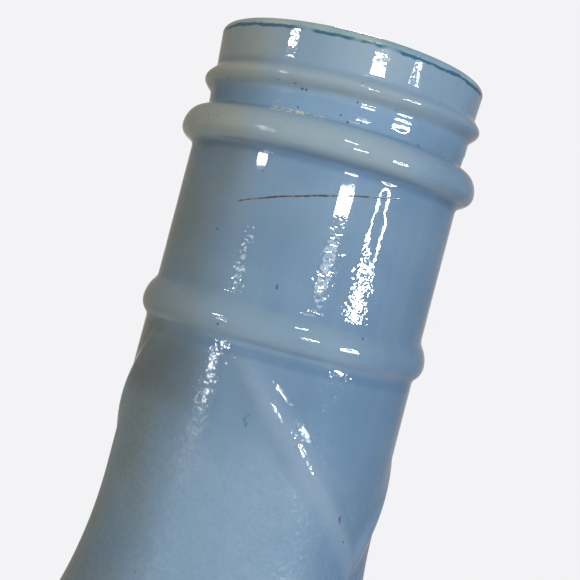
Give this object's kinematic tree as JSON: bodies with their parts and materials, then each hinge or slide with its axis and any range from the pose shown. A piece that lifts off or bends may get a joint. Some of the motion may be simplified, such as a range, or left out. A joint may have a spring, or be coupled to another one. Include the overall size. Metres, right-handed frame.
{
  "type": "screw-neck glass bottle",
  "caption": "Opaque pale blue glass bottle with a wide screw neck, collar, neck ring and arched ribs, with its lined sheet-steel cap standing beside it.",
  "frame": {"origin": "centre of the bottle's foot, on the surface it stands on", "axes": "+Z along the bottle's axis to the mouth, the pictured side faces -Y, the cap stands on the +X side"},
  "size_m": [0.1584, 0.095, 0.25],
  "materials": {
    "blue_glass": "opaque pale blue, glossy, slightly uneven",
    "cap_steel": "off-white lacquer on sheet steel, worn at the edges",
    "pulp_board": "matt pulp board",
    "waxed_facing": "waxed paper"
  },
  "bodies": {
    "bottle": {"glass_bottle": "blue_glass"},
    "cap": {"cap_shell": "cap_steel"},
    "liner": {"liner_board": "pulp_board", "liner_facing": "waxed_facing"}
  },
  "joints": [
    {"name": "cap_lift", "type": "slide", "parent": "bottle", "child": "cap", "axis": [0, 0, 1], "range_m": [0, 0.26]},
    {"name": "liner_turn", "type": "hinge", "parent": "cap", "child": "liner", "pos_m": [0.0852, 0, 0.014], "axis": [0, 0, 1], "continuous": true}
  ]
}
